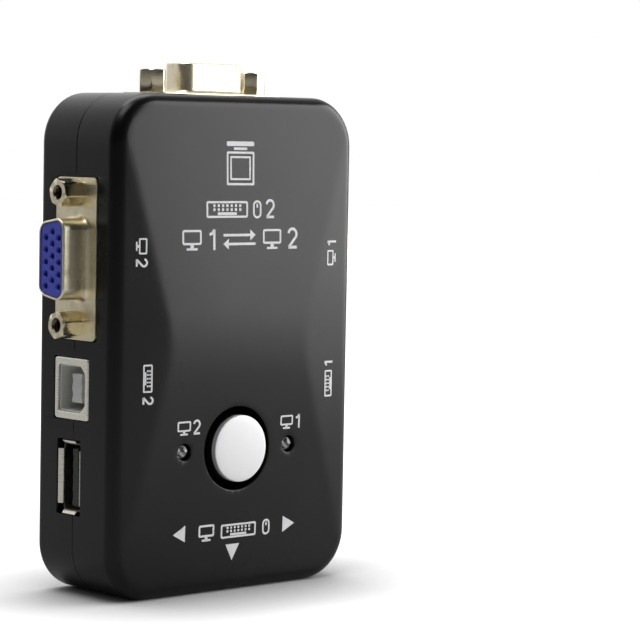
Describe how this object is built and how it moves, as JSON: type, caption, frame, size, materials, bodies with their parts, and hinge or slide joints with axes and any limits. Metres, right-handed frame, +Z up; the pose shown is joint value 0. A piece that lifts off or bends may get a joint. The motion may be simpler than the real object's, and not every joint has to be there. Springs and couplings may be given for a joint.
{
  "type": "kvm switch",
  "caption": "Upright box with round corners that shares a keyboard, screen and mouse between computers; silver push button on the face, video and data ports round its edges.",
  "frame": {"origin": "middle of the bottom end, on which the box stands; the depth origin is halfway between the back and the ridge of the face", "axes": "+Z up along the case to the monitor port, +X to the right seen from the front (computer 1 side), +Y to the back; the face and button look along -Y"},
  "size_m": [0.0728, 0.0254, 0.1024],
  "materials": {
    "case_black": "fine spark texture, satin black",
    "screw_steel": "zinc plated",
    "board_green": "solder mask over woven glass",
    "button_silver": "satin silver paint",
    "plunger_white": "moulded, plain",
    "switch_black": "moulded, plain",
    "lead_tin": "tinned",
    "lamp_clear": "clear moulded resin",
    "port_metal": "satin nickel plate",
    "video_blue": "moulded royal blue",
    "contact_gold": "thin gold plate",
    "port_white": "moulded off-white",
    "port_black": "moulded black",
    "chip_black": "moulded package",
    "crystal_can": "drawn can",
    "capacitor_sleeve": "shrunk sleeve",
    "ceramic_tan": "fired ceramic",
    "resistor_black": "fired film"
  },
  "bodies": {
    "case": {"front_cover": "case_black", "rear_cover": "case_black", "case_screws": "screw_steel", "circuit_board": "board_green", "switch_body": "switch_black", "switch_pins": "lead_tin", "pc1_lamp": "lamp_clear", "pc2_lamp": "lamp_clear", "lamp_leads": "lead_tin", "monitor_port_shell": "port_metal", "monitor_port_insulator": "video_blue", "monitor_port_housing": "video_blue", "monitor_port_contacts": "contact_gold", "monitor_port_jack_screws": "port_metal", "monitor_port_brackets": "port_metal", "pc1_video_shell": "port_metal", "pc1_video_insulator": "video_blue", "pc1_video_housing": "video_blue", "pc1_video_contacts": "contact_gold", "pc1_video_jack_screws": "port_metal", "pc1_video_brackets": "port_metal", "pc2_video_shell": "port_metal", "pc2_video_insulator": "video_blue", "pc2_video_housing": "video_blue", "pc2_video_contacts": "contact_gold", "pc2_video_jack_screws": "port_metal", "pc2_video_brackets": "port_metal", "pc1_square_shell": "port_metal", "pc1_square_insulator": "port_white", "pc1_square_contacts": "contact_gold", "pc2_square_shell": "port_metal", "pc2_square_insulator": "port_white", "pc2_square_contacts": "contact_gold", "right_flat_shell": "port_metal", "right_flat_tongue": "port_black", "right_flat_contacts": "contact_gold", "left_flat_shell": "port_metal", "left_flat_tongue": "port_black", "left_flat_contacts": "contact_gold", "bottom_flat_shell": "port_metal", "bottom_flat_tongue": "port_black", "bottom_flat_contacts": "contact_gold", "video_chips": "chip_black", "hub_chip": "chip_black", "controller_chip": "chip_black", "chip_leads": "lead_tin", "crystal": "crystal_can", "large_capacitors": "capacitor_sleeve", "small_capacitors": "ceramic_tan", "resistors": "resistor_black"},
    "button": {"select_button": "button_silver", "switch_plunger": "plunger_white"}
  },
  "joints": [
    {"name": "button_press", "type": "slide", "parent": "case", "child": "button", "axis": [0, 1, 0], "range_m": [0, 0.0015], "stiffness_N_per_m": 1200}
  ]
}
